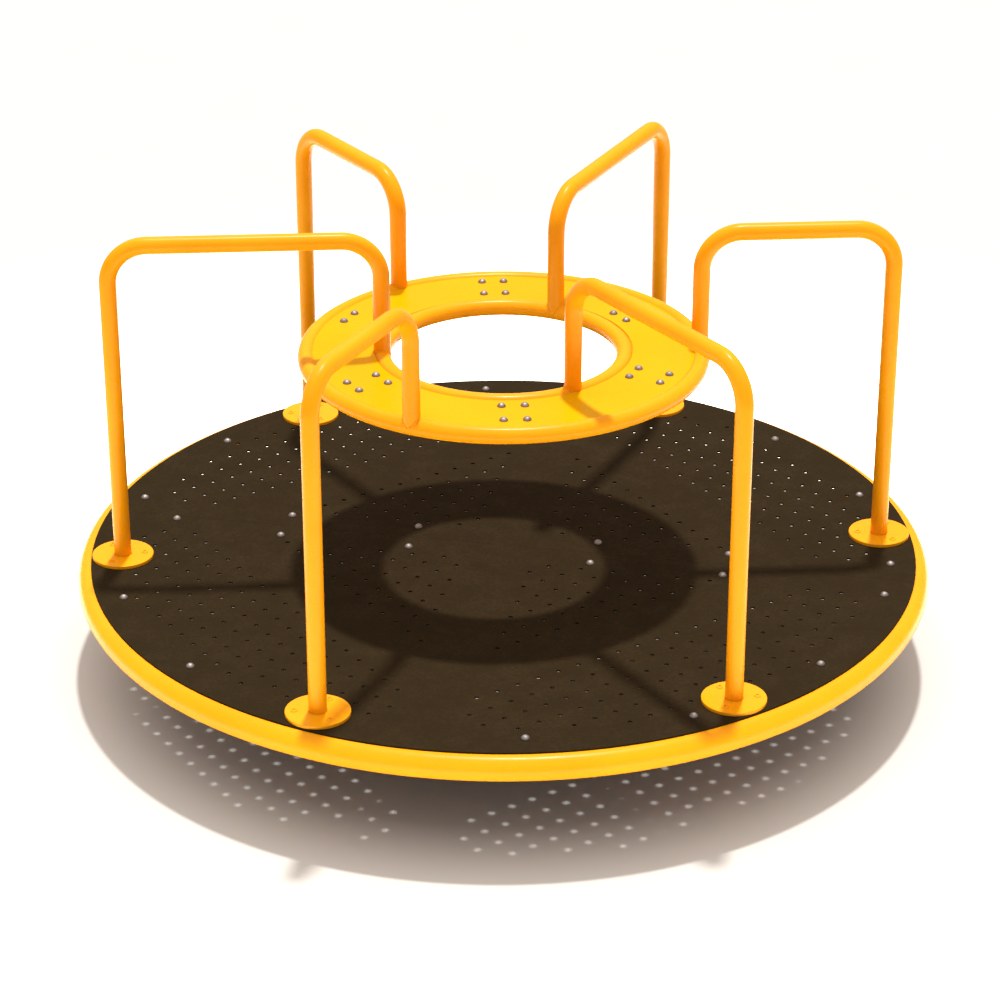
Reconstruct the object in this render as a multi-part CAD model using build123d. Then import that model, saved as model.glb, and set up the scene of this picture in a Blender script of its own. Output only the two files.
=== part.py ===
import os
from math import cos, degrees, hypot, radians, sin, sqrt, tan

from build123d import *

# Playground merry-go-round: a round perforated deck on a centre spindle, carrying six
# handrails and a raised ring.  Millimetres, +Z up, origin on the floor at the spin axis.
# Rail 1 stands over +X; the deck seam is turned away from it.

# ---- overall sizes
rim_outer_diameter = 2438.4      # eight feet over the rim tube
deck_top_z = 330.2               # thirteen inches above the surfacing
rail_height = 947.2              # centreline of the rails' top runs above the deck
seam_angle = -15.0               # direction of the deck seam, degrees from +X
rail_count = 6

# ---- deck plates
deck_thickness = 4.8
deck_edge_setback = 1.7          # plate edge inside the rim tube's crown
seam_gap = 0.5
hole_diameter = 12.7
hole_pitch = 46.2                # half the spacing along one row, rows are staggered
hole_first = 106.3               # first hole row from the seam and from the cross line
hole_edge_margin = 100.0         # plain border along the plate's edge
chord_band_half = 90.0           # plain strip each side of a chord beam's centreline

# ---- deck fasteners
bolt_diameter = 10.0
bolt_hole_clearance = 0.5        # on the radius
bolt_head_diameter = 24.0
bolt_head_height = 10.0
nut_across_flats = 17.0
nut_height = 8.0
thread_show = 2.0                # bolt end past the nut
nut_bore_gap = 0.05
rim_bolt_inset = 72.0            # bolt circle inside the plate's edge
rim_bolt_step = 23.6             # degrees between rim bolts
rim_bolt_first = 14.2            # first bolt each side of a half's middle
rim_bolts_per_side = 4
seam_bolt_near = 265.0           # along the seam from the centre
seam_bolt_far = 645.0
lone_bolt_inset = 210.0          # single bolt by the seam's end, from the plate's edge
lone_bolt_across = -21.0

# ---- rim
rim_tube_diameter = 73.0
rim_tube_wall = 4.0
rim_tab_width = 60.0
rim_tab_thickness = 6.0
rim_tab_length = 92.0
drain_diameter = 8.0
rim_drains = 8
ring_drains = 6

# ---- under-deck beams, rectangular tube
beam_height = 76.2
beam_width = 38.1
beam_wall = 3.2
seam_beam_offset = 66.4          # beam centreline from the seam
cross_beam_width = 76.2
chord_beam_distance = 607.0      # beam centreline from the spin axis
chord_beam_width = 76.2
chord_beam_height = 50.8
beam_rim_reach = 24.0            # how far a beam's end laps over the rim tube
seam_clip_length = 110.0
seam_clip_thickness = 6.0

# ---- handrails
rail_tube_diameter = 48.3
rail_tube_wall = 3.2
rail_bend_radius = 110.0
rail_foot_inset = 91.9           # outer leg inside the rim tube's centreline
flange_diameter = 174.0
flange_thickness = 9.5
flange_screw_circle = 62.0       # radius
flange_screw_count = 3
flange_screw_head = 20.0
flange_screw_head_height = 5.0
bracket_width = 150.0
bracket_thickness = 6.0
bracket_inner_margin = 12.0      # bracket past the innermost screw

# ---- raised ring
ring_height = 601.6              # tube centreline above the deck
ring_tube_diameter = 48.3
ring_tube_wall = 3.2
ring_outer_radius = 552.0
ring_inner_radius = 339.2
ring_plate_thickness = 4.8
ring_plate_drop = 8.0            # plate top below the tubes' crowns
ring_plate_gap = 1.5             # open joint round the inner tube
ring_plate_notch = 1.0           # round the rails' legs
ring_bolt_rows = (0.2857, 0.718)  # shares of the way from the inner tube's centreline to the outer's
ring_bolt_spread = 63.0
brace_width = 110.0
brace_thickness = 6.0
leg_saddle_start = 6.0           # leg wall ends this far above the ring tube's centreline

# ---- pedestal and hub
base_plate_diameter = 406.4
base_plate_thickness = 12.7
anchor_circle_diameter = 330.0
anchor_hole_diameter = 18.0
anchor_count = 6
gusset_count = 6
gusset_thickness = 9.5
gusset_reach = 130.0             # from the spindle's foot outwards
gusset_toe = 12.0
gusset_drop = 4.0                # gusset's top below the spindle's foot
gusset_lap = 3.0                 # drawn into the foot, then trimmed to it
spindle_foot_diameter = 90.0
spindle_foot_top = 58.0
seal_land_step = 7.0             # land past the lower journal, on the radius
lower_seat_z = 84.0
thread_diameter = 42.0
thread_relief = 1.0              # thread starts this far below the tab washer
spindle_end_show = 1.0           # spindle past its nut
upper_journal_reach = 12.0       # upper journal below its bearing
hub_wall = 15.0                  # barrel round the lower bearing
lower_shoulder = 7.0             # on the radius, behind the lower cup
upper_shoulder = 6.0
hub_bottom_z = 66.0
hub_flange_side = 340.0
hub_flange_thickness = 9.5
hub_top_drop = 11.0              # hub top below the deck plates
hub_cap_thickness = 3.0
cap_screw_inset = 15.0           # screws from the upper cup's bore and from the cap's edge
cap_screw_count = 4
cap_screw_diameter = 6.0
cap_screw_head = 11.0
cap_screw_head_height = 3.0
cap_screw_length = 16.0
washer_diameter = 66.0
washer_thickness = 4.0
spindle_nut_flats = 60.0
spindle_nut_height = 18.0
nut_slot_width = 7.0
nut_slot_depth = 6.0
nut_slot_pairs = 3
nut_headroom = 8.0               # under the hub cap
cotter_diameter = 6.0
cotter_overhang = 5.0            # eye's centre past the nut's flat
seal_thickness = 9.0
seal_clearance = 0.3
seal_recess = 2.0                # seal above the hub's mouth
seal_lip_depth = 3.0
seal_lip_reach = 8.0
grease_nipple_z = 160.0
nipple_radius = 4.0
nipple_flats = 11.0
nipple_neck_share = 0.6          # neck and ball as shares of the stem's radius
nipple_ball_share = 0.8
seat_gap = 0.05                  # on the radius, races on their seats

# ---- tapered roller bearings: bore, outside, width, roller count
lower_bore, lower_outside, lower_width, lower_rollers = 60.0, 110.0, 29.75, 20
upper_bore, upper_outside, upper_width, upper_rollers = 50.0, 90.0, 24.75, 17
roller_lean = 12.0               # roller axis to the spin axis, degrees
roller_taper = 1.6               # half angle of a roller, degrees
roller_share = 0.40              # roller diameter as a share of the gap between bore and outside
roller_margin = 5.0              # roller shorter than the bearing at each end
roller_clearance = 0.3
cage_thickness = 2.0
cage_ring = 2.6                  # cage past each roller end
pocket_clearance = 0.4
rib_height_share = 0.45          # cone's rib, as a share of the roller margin
rib_rise_share = 0.5             # cone's rib past the raceway, as a share of the roller's radius
cup_foot_share = 0.6             # cup's narrow end above the cone's, as a share of the margin

# ---- worked out from the above
rim_tube_radius = rim_tube_diameter / 2
rim_centre_radius = rim_outer_diameter / 2 - rim_tube_radius
deck_radius = rim_centre_radius - deck_edge_setback
rail_foot_radius = rim_centre_radius - rail_foot_inset
rail_top_z = deck_top_z + rail_height
lone_bolt_along = lone_bolt_inset - deck_radius
deck_under_z = deck_top_z - deck_thickness
rim_z = deck_under_z - rim_tube_radius
rail_tube_radius = rail_tube_diameter / 2
ring_tube_radius = ring_tube_diameter / 2
ring_z = deck_top_z + ring_height
ring_plate_top_z = ring_z + ring_tube_radius - ring_plate_drop
ring_plate_under_z = ring_plate_top_z - ring_plate_thickness
bolt_hole_radius = bolt_diameter / 2 + bolt_hole_clearance
hub_neck_half = seam_beam_offset + beam_width / 2
hub_flange_top_z = deck_under_z - beam_height
hub_top_z = deck_under_z - hub_top_drop
upper_seat_top_z = hub_top_z - spindle_nut_height - washer_thickness - nut_headroom
upper_seat_z = upper_seat_top_z - upper_width
upper_journal_z = upper_seat_z - upper_journal_reach
ring_span = ring_outer_radius - ring_inner_radius
ring_bolt_radii = [ring_inner_radius + row * ring_span for row in ring_bolt_rows]
hub_barrel_radius = lower_outside / 2 + hub_wall
seal_land_radius = lower_bore / 2 + seal_land_step
cap_screw_circle = upper_outside / 2 + cap_screw_inset
hub_cap_radius = cap_screw_circle + cap_screw_inset
through = 3                      # cutters are this many times as long as what they cut
to_low = (Align.CENTER, Align.CENTER, Align.MIN)
to_high = (Align.CENTER, Align.CENTER, Align.MAX)
outwards = (Align.MIN, Align.CENTER, Align.MAX)


def on_seam(shape):
    """Turn a shape drawn with the seam along X into its real direction."""
    return Rot(0, 0, seam_angle) * shape


def polar(radius, angle, z=0.0):
    """Location at a radius and an angle in degrees, turned so that its X points outwards."""
    return Rot(0, 0, angle) * Pos(radius, 0, z)


def turned(points):
    """Solid of revolution about Z from (radius, z) corners."""
    outline = Polyline(*[(r, 0, z) for r, z in points], close=True)
    return revolve(make_face(outline), Axis.Z)


def torus_tube(major, minor, wall, z, drains):
    """Closed ring of round tube, with drain holes along its lowest line."""
    ring = Torus(major, minor) - Torus(major, minor - wall)
    drain = Cylinder(drain_diameter / 2, minor + wall, align=to_high)
    for i in range(drains):
        ring -= polar(major, (i + 0.5) * 360 / drains) * drain
    return Pos(0, 0, z) * ring


def filled_torus(major, minor, z):
    return Pos(0, 0, z) * Torus(major, minor)


def rectangular_tube(start, end, width, height, wall, top_z):
    """Straight box-section tube along X from start to end, with its top at top_z."""
    middle = (start + end) / 2
    outside = Box(end - start, width, height, align=to_high)
    inside = Pos(0, 0, -wall) * Box(end - start, width - 2 * wall, height - 2 * wall, align=to_high)
    return Pos(middle, 0, top_z) * (outside - inside)


def dome_bolt(head_diameter, head_height, shank_diameter, length):
    """Round-headed bolt: the head's flat underside at z 0, the shank downwards."""
    half = head_diameter / 2
    sphere_radius = (half * half + head_height * head_height) / (2 * head_height)
    ball = Pos(0, 0, head_height - sphere_radius) * Sphere(sphere_radius)
    cap = ball & Cylinder(half, head_height, align=to_low)
    return cap + Cylinder(shank_diameter / 2, length, align=to_high)


def hex_nut(across_flats, height, bore):
    """Plain nut with its top face at z 0."""
    body = extrude(RegularPolygon(across_flats / 2, 6, major_radius=False), -height)
    return body - Cylinder(bore, height, align=to_high)


def group(shapes):
    """Separate solids kept side by side in one node."""
    solids = []
    for shape in shapes:
        solids += shape.solids()
    return Compound(children=solids)


# ---- places shared by several pieces

def rails():
    """Angle, inner leg radius and kind of each handrail: short and long in turn."""
    result = []
    for i in range(rail_count):
        long_one = i % 2 == 1
        inner = ring_inner_radius if long_one else ring_outer_radius
        result.append((i * 360 / rail_count, inner, "long" if long_one else "short"))
    return result


def to_seam_frame(x, y):
    turn = radians(-seam_angle)
    return x * cos(turn) - y * sin(turn), x * sin(turn) + y * cos(turn)


def flange_centres():
    """Flange centres in the seam's frame."""
    result = []
    for angle, _, _ in rails():
        a = radians(angle)
        result.append(to_seam_frame(rail_foot_radius * cos(a), rail_foot_radius * sin(a)))
    return result


def flange_screw_places():
    """Each flange has one screw pointing at the spin axis."""
    result = []
    for angle, _, _ in rails():
        for k in range(flange_screw_count):
            turn = radians(180 + k * 360 / flange_screw_count)
            radial = rail_foot_radius + flange_screw_circle * cos(turn)
            across = flange_screw_circle * sin(turn)
            a = radians(angle)
            result.append((radial * cos(a) - across * sin(a), radial * sin(a) + across * cos(a)))
    return result


def under_a_flange(x, y, margin):
    reach = flange_diameter / 2 + margin
    return any(hypot(x - fx, y - fy) < reach for fx, fy in flange_centres())


def rim_bolt_places():
    """Rim bolts in the seam's frame; those that a flange covers are left out."""
    result = []
    radius = deck_radius - rim_bolt_inset
    for middle in (90, 270):
        for side in (-1, 1):
            for k in range(rim_bolts_per_side):
                a = radians(middle + side * (rim_bolt_first + k * rim_bolt_step))
                x, y = radius * cos(a), radius * sin(a)
                if not under_a_flange(x, y, 0):
                    result.append((x, y, degrees(a)))
    return result


def seam_bolt_places():
    result = []
    for along in (-seam_bolt_far, -seam_bolt_near, seam_bolt_near, seam_bolt_far):
        for side in (-1, 1):
            result.append((along, side * seam_beam_offset))
    return result


def perforations():
    """Staggered drain holes, mirrored about the seam and the cross line, none over a beam."""
    result = []
    limit = deck_radius - hole_edge_margin
    steps = int(limit / hole_pitch) + 1
    for i in range(steps):
        for j in range(steps):
            x, y = hole_first + i * hole_pitch, hole_first + j * hole_pitch
            over_chord = abs((x + y) / sqrt(2) - chord_beam_distance) < chord_band_half
            if (i + j) % 2 == 0 or over_chord or hypot(x, y) > limit:
                continue
            for sx in (-1, 1):
                for sy in (-1, 1):
                    if not under_a_flange(sx * x, sy * y, hole_diameter / 2):
                        result.append((sx * x, sy * y))
    return result


# ---- deck

def deck_half(side):
    """Half disc of plate, side +1 behind the seam and -1 in front of it."""
    edge = seam_gap / 2
    end = sqrt(deck_radius ** 2 - edge ** 2)
    left, right = (-end, side * edge), (end, side * edge)
    arc = ThreePointArc(right, (0, side * deck_radius), left)
    outline = Wire([Line(left, right), arc])
    holes = []
    for x, y in perforations():
        holes.append((x, y, hole_diameter / 2))
    bolts = [(x, y) for x, y, _ in rim_bolt_places()] + seam_bolt_places()
    bolts.append((lone_bolt_along, lone_bolt_across))
    bolts += [to_seam_frame(x, y) for x, y in flange_screw_places()]
    for x, y in bolts:
        holes.append((x, y, bolt_hole_radius))
    rings = [Wire.make_circle(r, Plane((x, y, 0))) for x, y, r in holes if y * side > 0]
    plate = extrude(Face(outline, rings), deck_thickness, dir=(0, 0, 1))
    return on_seam(Pos(0, 0, deck_under_z) * plate)


def deck_bolts():
    """Bolts and nuts of the deck; the grip depends on what lies under the plate."""
    places = [(x, y, rim_tab_thickness) for x, y, _ in rim_bolt_places()]
    places += [(x, y, beam_wall) for x, y in seam_bolt_places()]
    places.append((lone_bolt_along, lone_bolt_across, seam_clip_thickness))
    bolts, nuts = [], []
    for x, y, support in places:
        length = deck_thickness + support + nut_height + thread_show
        bolt = dome_bolt(bolt_head_diameter, bolt_head_height, bolt_diameter, length)
        nut = hex_nut(nut_across_flats, nut_height, bolt_diameter / 2 + nut_bore_gap)
        bolts.append(on_seam(Pos(x, y, deck_top_z) * bolt))
        nuts.append(on_seam(Pos(x, y, deck_under_z - support) * nut))
    return group(bolts), group(nuts)


# ---- rim and beams

def rim_ring():
    return torus_tube(rim_centre_radius, rim_tube_radius, rim_tube_wall, rim_z, rim_drains)


def rim_solid():
    return filled_torus(rim_centre_radius, rim_tube_radius, rim_z)


def rim_tabs():
    """Flat tabs welded to the rim's inside under the rim bolts, trimmed to the seam beams."""
    tabs = []
    outer = rim_centre_radius - rim_tube_radius / 2
    inwards = (Align.MAX, Align.CENTER, Align.MAX)
    for x, y, angle in rim_bolt_places():
        tab = Box(rim_tab_length, rim_tab_width, rim_tab_thickness, align=inwards)
        tab -= Pos(hypot(x, y) - outer, 0, 0) * Cylinder(bolt_hole_radius, through * rim_tab_thickness)
        tab = Rot(0, 0, angle) * Pos(outer, 0, deck_under_z) * tab
        tab -= rim_solid()
        tab -= Box(rim_outer_diameter, 2 * hub_neck_half, 2 * deck_top_z)
        tabs.append(on_seam(tab))
    return group(tabs)


def seam_beam(along, across):
    """Box tube beside the seam from the hub's square neck to the rim."""
    reach = rim_centre_radius - rim_tube_radius + beam_rim_reach
    end = sqrt(reach ** 2 - hub_neck_half ** 2)
    beam = rectangular_tube(hub_neck_half, end, beam_width, beam_height, beam_wall, deck_under_z)
    beam = Pos(0, seam_beam_offset * across, 0) * beam
    for x, y in seam_bolt_places():
        if x > 0 and y * across > 0:
            beam -= Pos(x, y, deck_under_z) * Cylinder(bolt_hole_radius, through * beam_wall)
    beam -= rim_solid()
    return on_seam(beam if along > 0 else mirror(beam, Plane.YZ))


def cross_beam(side):
    """Box tube square to the seam, from the hub's neck to the rim."""
    reach = rim_centre_radius - rim_tube_radius + beam_rim_reach
    end = sqrt(reach ** 2 - (cross_beam_width / 2) ** 2)
    beam = rectangular_tube(hub_neck_half, end, cross_beam_width, beam_height, beam_wall, deck_under_z)
    return on_seam(Rot(0, 0, 90 * side) * (beam - rim_solid()))


def chord_beam(quarter):
    """Box tube across one quarter of the deck, cut to the sides of the beams it meets."""
    half = chord_beam_distance + chord_beam_width
    beam = rectangular_tube(-half, half, chord_beam_width, chord_beam_height, beam_wall, deck_under_z)
    beam = Rot(0, 0, 45) * Pos(chord_beam_distance, 0, 0) * Rot(0, 0, 90) * beam
    along_seam = quarter in (1, 3)
    limit_x = cross_beam_width / 2 if along_seam else hub_neck_half
    limit_y = hub_neck_half if along_seam else cross_beam_width / 2
    size = 2 * rim_outer_diameter
    keep = Pos(limit_x, limit_y, 0) * Box(size, size, size, align=(Align.MIN, Align.MIN, Align.CENTER))
    return on_seam(Rot(0, 0, 90 * (quarter - 1)) * (beam & keep))


def seam_clip():
    """Strap between the two seam beams, under the single bolt at the seam's end."""
    gap = 2 * seam_beam_offset - beam_width
    strap = Box(seam_clip_length, gap, seam_clip_thickness, align=to_high)
    strap -= Pos(0, lone_bolt_across, 0) * Cylinder(bolt_hole_radius, through * seam_clip_thickness)
    return on_seam(Pos(lone_bolt_along, 0, deck_under_z) * strap)


# ---- handrails

def handrail(angle, inner):
    """Bent tube: outer leg on its flange, inner leg saddled on a ring tube."""
    foot = (rail_foot_radius, 0, deck_top_z + flange_thickness)
    top_out = (rail_foot_radius, 0, rail_top_z)
    top_in = (inner, 0, rail_top_z)
    end = (inner, 0, ring_z + leg_saddle_start)
    path = FilletPolyline(foot, top_out, top_in, end, radius=rail_bend_radius)
    start = Plane(foot, z_dir=(0, 0, 1))
    tube = sweep(start * Circle(rail_tube_radius), path)
    tube -= sweep(start * Circle(rail_tube_radius - rail_tube_wall), path)
    tube -= filled_torus(inner, ring_tube_radius, ring_z)
    return Rot(0, 0, angle) * tube


def rail_flange(angle):
    flange = Cylinder(flange_diameter / 2, flange_thickness, align=to_low)
    for k in range(flange_screw_count):
        hole = Cylinder(bolt_hole_radius, through * flange_thickness)
        flange -= polar(flange_screw_circle, 180 + k * 360 / flange_screw_count) * hole
    return polar(rail_foot_radius, angle, deck_top_z) * flange


def rail_brackets():
    """Plates under the deck, welded to the rim tube, that back the flanges."""
    brackets = []
    inner = rail_foot_radius - flange_screw_circle - bolt_hole_radius - bracket_inner_margin
    outer = rim_centre_radius - rim_tube_radius / 2
    for angle, _, _ in rails():
        plate = Box(outer - inner, bracket_width, bracket_thickness, align=outwards)
        plate = Pos(inner, 0, deck_under_z) * plate
        for k in range(flange_screw_count):
            turn = 180 + k * 360 / flange_screw_count
            hole = polar(flange_screw_circle, turn) * Cylinder(bolt_hole_radius, through * bracket_thickness)
            plate -= Pos(rail_foot_radius, 0, deck_under_z) * hole
        brackets.append(Rot(0, 0, angle) * (plate - rim_solid()))
    return group(brackets)


def flange_screws():
    screws, nuts = [], []
    grip = flange_thickness + deck_thickness + bracket_thickness
    length = grip + nut_height + thread_show
    for x, y in flange_screw_places():
        screw = dome_bolt(flange_screw_head, flange_screw_head_height, bolt_diameter, length)
        nut = hex_nut(nut_across_flats, nut_height, bolt_diameter / 2 + nut_bore_gap)
        screws.append(Pos(x, y, deck_top_z + flange_thickness) * screw)
        nuts.append(Pos(x, y, deck_under_z - bracket_thickness) * nut)
    return group(screws), group(nuts)


# ---- raised ring

def brace_angles():
    return [(i + 0.5) * 360 / rail_count for i in range(rail_count)]


def ring_bolt_places():
    places = []
    for angle in brace_angles():
        for radius in ring_bolt_radii:
            for side in (-1, 1):
                a = radians(angle)
                across = side * ring_bolt_spread / 2
                places.append((radius * cos(a) - across * sin(a), radius * sin(a) + across * cos(a)))
    return places


def ring_plate():
    """Flat ring between the two tubes, just below their crowns."""
    drop = ring_plate_under_z - ring_z
    inner = ring_inner_radius + sqrt(ring_tube_radius ** 2 - drop ** 2) + ring_plate_gap
    rings = [Wire.make_circle(inner, Plane.XY)]
    rings += [Wire.make_circle(bolt_hole_radius, Plane((x, y, 0))) for x, y in ring_bolt_places()]
    face = Face(Wire.make_circle(ring_outer_radius, Plane.XY), rings)
    plate = Pos(0, 0, ring_plate_under_z) * extrude(face, ring_plate_thickness, dir=(0, 0, 1))
    plate -= filled_torus(ring_outer_radius, ring_tube_radius, ring_z)
    for angle, radius, _ in rails():
        leg = Cylinder(rail_tube_radius + ring_plate_notch, through * ring_tube_diameter)
        plate -= polar(radius, angle, ring_plate_top_z) * leg
    return plate


def ring_braces():
    """Flat bars under the ring plate, welded to both tubes."""
    braces = []
    for angle in brace_angles():
        bar = Box(ring_span, brace_width, brace_thickness, align=outwards)
        bar = Pos(ring_inner_radius, 0, ring_plate_under_z) * bar
        for radius in ring_bolt_radii:
            for side in (-1, 1):
                place = Pos(radius, side * ring_bolt_spread / 2, ring_plate_under_z)
                bar -= place * Cylinder(bolt_hole_radius, through * brace_thickness)
        bar = Rot(0, 0, angle) * bar
        bar -= filled_torus(ring_outer_radius, ring_tube_radius, ring_z)
        bar -= filled_torus(ring_inner_radius, ring_tube_radius, ring_z)
        braces.append(bar)
    return group(braces)


def ring_fasteners():
    bolts, nuts = [], []
    length = ring_plate_thickness + brace_thickness + nut_height + thread_show
    for x, y in ring_bolt_places():
        bolt = dome_bolt(bolt_head_diameter, bolt_head_height, bolt_diameter, length)
        nut = hex_nut(nut_across_flats, nut_height, bolt_diameter / 2 + nut_bore_gap)
        bolts.append(Pos(x, y, ring_plate_top_z) * bolt)
        nuts.append(Pos(x, y, ring_plate_under_z - brace_thickness) * nut)
    return group(bolts), group(nuts)


# ---- bearings

def tapered_bearing(bore, outside, width, count):
    """Cone, cup, cage and rollers, standing on z 0 with the rollers' thick ends down."""
    pitch = (bore + outside) / 4
    roller_radius = roller_share * (outside - bore) / 4
    length = width - 2 * roller_margin
    lean, taper = radians(roller_lean), radians(roller_taper)
    middle_z = width / 2

    def place(along, off):
        """(radius, z) of a point on the roller's plane: along its axis, off it outwards."""
        radius = pitch - along * sin(lean) + off * cos(lean)
        return radius, middle_z + along * cos(lean) + off * sin(lean)

    def race(side, z):
        """Radius of the cone (-1) or cup (+1) raceway at a height."""
        near = place(0, side * (roller_radius + roller_clearance))
        slope = tan(lean + side * taper)
        return near[0] - (z - near[1]) * slope

    rib_z = roller_margin * rib_height_share
    cone_bore, cup_outside = bore / 2 + seat_gap, outside / 2 - seat_gap
    rib = race(-1, rib_z) + roller_radius * rib_rise_share
    cone = turned([(cone_bore, 0), (rib, 0), (rib, rib_z), (race(-1, rib_z), rib_z),
                   (race(-1, width), width), (cone_bore, width)])
    cup_foot = roller_margin * cup_foot_share
    cup = turned([(cup_outside, cup_foot), (race(1, cup_foot), cup_foot),
                  (race(1, width), width), (cup_outside, width)])
    reach = length / 2 + cage_ring
    half = cage_thickness / 2
    cage = turned([place(-reach, -half), place(-reach, half), place(reach, half), place(reach, -half)])
    spread = length / 2 * tan(taper)
    thick, thin = roller_radius + spread, roller_radius - spread
    rollers = []
    for i in range(count):
        seat = Rot(0, 0, i * 360 / count) * Pos(pitch, 0, middle_z) * Rot(0, -roller_lean, 0)
        rollers.append(seat * Cone(thick, thin, length))
        cage -= seat * Cone(thick + pocket_clearance, thin + pocket_clearance, length)
    return [cone], [cup], [cage], rollers


def lower_bearing():
    pieces = tapered_bearing(lower_bore, lower_outside, lower_width, lower_rollers)
    seat = Pos(0, 0, lower_seat_z)
    return [[seat * solid for solid in piece] for piece in pieces]


def upper_bearing():
    """The same kind of bearing the other way up, its thick roller ends at the top."""
    pieces = tapered_bearing(upper_bore, upper_outside, upper_width, upper_rollers)
    seat = Pos(0, 0, upper_seat_top_z) * Rot(180, 0, 0)
    return [[seat * solid for solid in piece] for piece in pieces]


# ---- pedestal

def base_plate():
    plate = Cylinder(base_plate_diameter / 2, base_plate_thickness, align=to_low)
    for i in range(anchor_count):
        hole = Cylinder(anchor_hole_diameter / 2, through * base_plate_thickness)
        plate -= polar(anchor_circle_diameter / 2, (i + 0.5) * 360 / anchor_count) * hole
    return plate


def spindle():
    """Stepped shaft: foot, seal land, two journals and the thread for the nut."""
    top = upper_seat_top_z + washer_thickness + spindle_nut_height + spindle_end_show
    thread_z = upper_seat_top_z - thread_relief
    foot = spindle_foot_diameter / 2
    lower, upper, thread = lower_bore / 2, upper_bore / 2, thread_diameter / 2
    shaft = turned([(0, base_plate_thickness), (foot, base_plate_thickness), (foot, spindle_foot_top),
                    (seal_land_radius, spindle_foot_top), (seal_land_radius, lower_seat_z),
                    (lower, lower_seat_z), (lower, upper_journal_z), (upper, upper_journal_z),
                    (upper, thread_z), (thread, thread_z), (thread, top), (0, top)])
    pin_hole = Rot(0, 90, 0) * Cylinder(cotter_diameter / 2 + nut_bore_gap, 2 * upper_bore)
    return shaft - Pos(0, 0, cotter_z()) * pin_hole


def cotter_z():
    return upper_seat_top_z + washer_thickness + spindle_nut_height - nut_slot_depth / 2


def base_gussets():
    """Upright triangles between the base plate and the spindle's foot."""
    low, high = base_plate_thickness, spindle_foot_top - gusset_drop
    inner = sqrt((spindle_foot_diameter / 2) ** 2 - (gusset_thickness / 2) ** 2)
    outer, lap = inner + gusset_reach, inner - gusset_lap
    gussets = []
    for i in range(gusset_count):
        outline = Polyline((lap, 0, low), (outer, 0, low), (outer, 0, low + gusset_toe),
                           (inner, 0, high), (lap, 0, high), close=True)
        web = extrude(make_face(outline), gusset_thickness / 2, both=True)
        web -= Cylinder(spindle_foot_diameter / 2, through * spindle_foot_top)
        gussets.append(Rot(0, 0, i * 360 / gusset_count) * web)
    return group(gussets)


def tab_washer():
    washer = Cylinder(washer_diameter / 2, washer_thickness, align=to_low)
    washer -= Cylinder(thread_diameter / 2 + nut_bore_gap, through * washer_thickness)
    return Pos(0, 0, upper_seat_top_z) * washer


def castle_nut():
    hexagon = RegularPolygon(spindle_nut_flats / 2, 6, major_radius=False, rotation=30)
    nut = extrude(hexagon, spindle_nut_height)
    nut -= Cylinder(thread_diameter / 2 + nut_bore_gap, through * spindle_nut_height)
    slot = Box(2 * spindle_nut_flats, nut_slot_width, nut_slot_depth, align=to_high)
    for i in range(nut_slot_pairs):
        nut -= Pos(0, 0, spindle_nut_height) * Rot(0, 0, i * 180 / nut_slot_pairs) * slot
    return Pos(0, 0, upper_seat_top_z + washer_thickness) * nut


def cotter_pin():
    """Straight pin through the spindle and two slots of the nut, with a round eye."""
    reach = spindle_nut_flats / 2 + cotter_overhang
    pin = Rot(0, 90, 0) * Cylinder(cotter_diameter / 2, 2 * reach)
    eye = Pos(reach, 0, 0) * Rot(90, 0, 0) * Torus(cotter_diameter / 2, cotter_diameter / 4)
    return Pos(0, 0, cotter_z()) * (pin + eye)


# ---- hub

def hub_housing():
    """Barrel with a square flange and neck: the beams stand on the flange and butt the neck."""
    barrel = Cylinder(hub_barrel_radius, hub_flange_top_z - hub_bottom_z, align=to_low)
    flange = Box(hub_flange_side, hub_flange_side, hub_flange_thickness, align=to_high)
    neck = Box(2 * hub_neck_half, 2 * hub_neck_half, hub_top_z - hub_flange_top_z, align=to_low)
    body = Pos(0, 0, hub_bottom_z) * barrel + Pos(0, 0, hub_flange_top_z) * (flange + neck)
    lower_seat_top = lower_seat_z + lower_width
    bores = [(lower_outside / 2, hub_bottom_z, lower_seat_top),
             (lower_outside / 2 - lower_shoulder, lower_seat_top, upper_journal_z),
             (upper_outside / 2 - upper_shoulder, upper_journal_z, upper_seat_z),
             (upper_outside / 2, upper_seat_z, hub_top_z)]
    for radius, low, high in bores:
        body -= Pos(0, 0, low) * Cylinder(radius, high - low, align=to_low)
    for place in cap_screw_places():
        body -= place * Cylinder(cap_screw_diameter / 2 + nut_bore_gap, 2 * cap_screw_length)
    body -= nipple_place() * Cylinder(nipple_radius, hub_barrel_radius)
    return on_seam(body)


def cap_screw_places():
    angles = [(i + 0.5) * 360 / cap_screw_count for i in range(cap_screw_count)]
    return [polar(cap_screw_circle, angle, hub_top_z) for angle in angles]


def hub_cap():
    cap = Pos(0, 0, hub_top_z) * Cylinder(hub_cap_radius, hub_cap_thickness, align=to_low)
    for place in cap_screw_places():
        cap -= place * Cylinder(cap_screw_diameter / 2 + nut_bore_gap, through * hub_cap_thickness)
    return on_seam(cap)


def hub_cap_screws():
    screw = dome_bolt(cap_screw_head, cap_screw_head_height, cap_screw_diameter, cap_screw_length)
    lift = Pos(0, 0, hub_cap_thickness)
    return group([on_seam(place * lift * screw) for place in cap_screw_places()])


def grease_seal():
    """Ring in the hub's mouth, its lip just clear of the spindle's land."""
    outer, lip = lower_outside / 2 - seat_gap, seal_land_radius + seal_clearance
    seal = turned([(lip + seal_lip_reach, 0), (outer, 0), (outer, seal_thickness),
                   (lip, seal_thickness), (lip, seal_thickness - seal_lip_depth)])
    return Pos(0, 0, hub_bottom_z + seal_recess) * seal


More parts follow.
